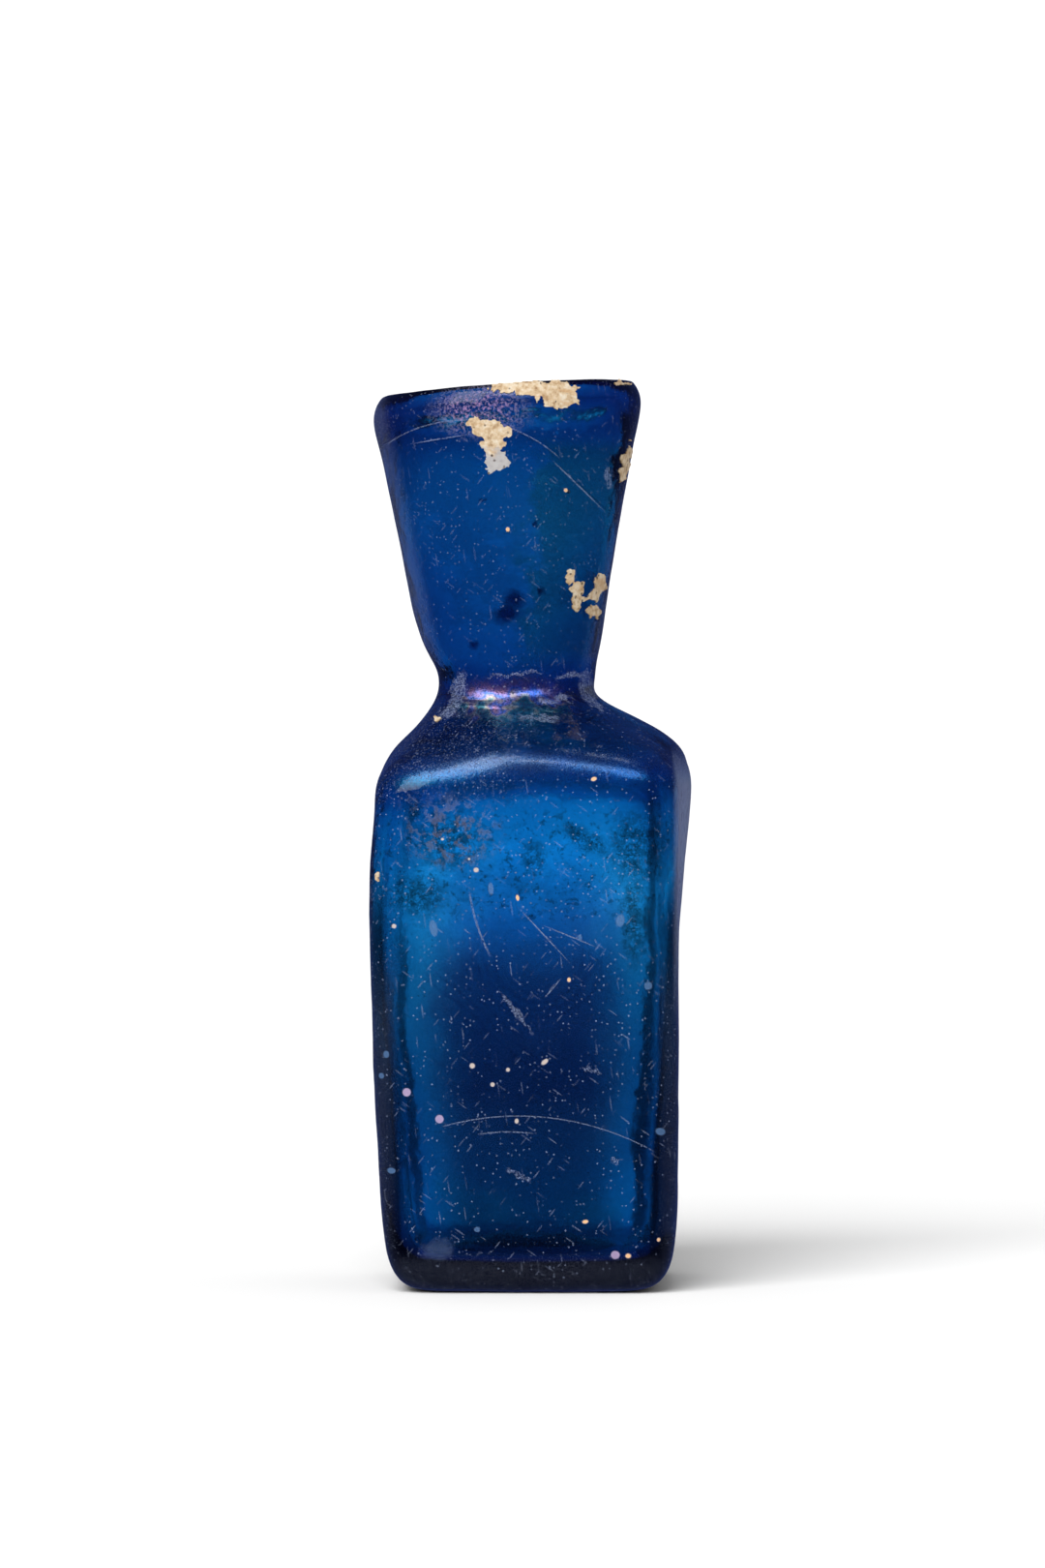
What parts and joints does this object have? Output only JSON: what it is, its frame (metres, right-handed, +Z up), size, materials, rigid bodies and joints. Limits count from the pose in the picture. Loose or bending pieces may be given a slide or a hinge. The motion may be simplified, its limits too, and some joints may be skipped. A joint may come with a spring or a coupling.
{
  "type": "glass flask",
  "caption": "Small deep blue blown-glass flask with a square body, sloping shoulders, a pinched waist and a leaning funnel neck, weathered and crusted.",
  "frame": {"origin": "middle of the flask's box, on the surface it stands on", "axes": "+Z up from the foot to the mouth, with the front face towards -Y and the neck leaning a little towards -X"},
  "size_m": [0.0334, 0.0326, 0.093],
  "materials": {
    "cobalt_glass": "weathered blown glass, deep blue, scratched and pitted, with seed bubbles, thin iridescence and small patches of cream crust"
  },
  "bodies": {
    "root": {"flask": "cobalt_glass"}
  },
  "joints": []
}
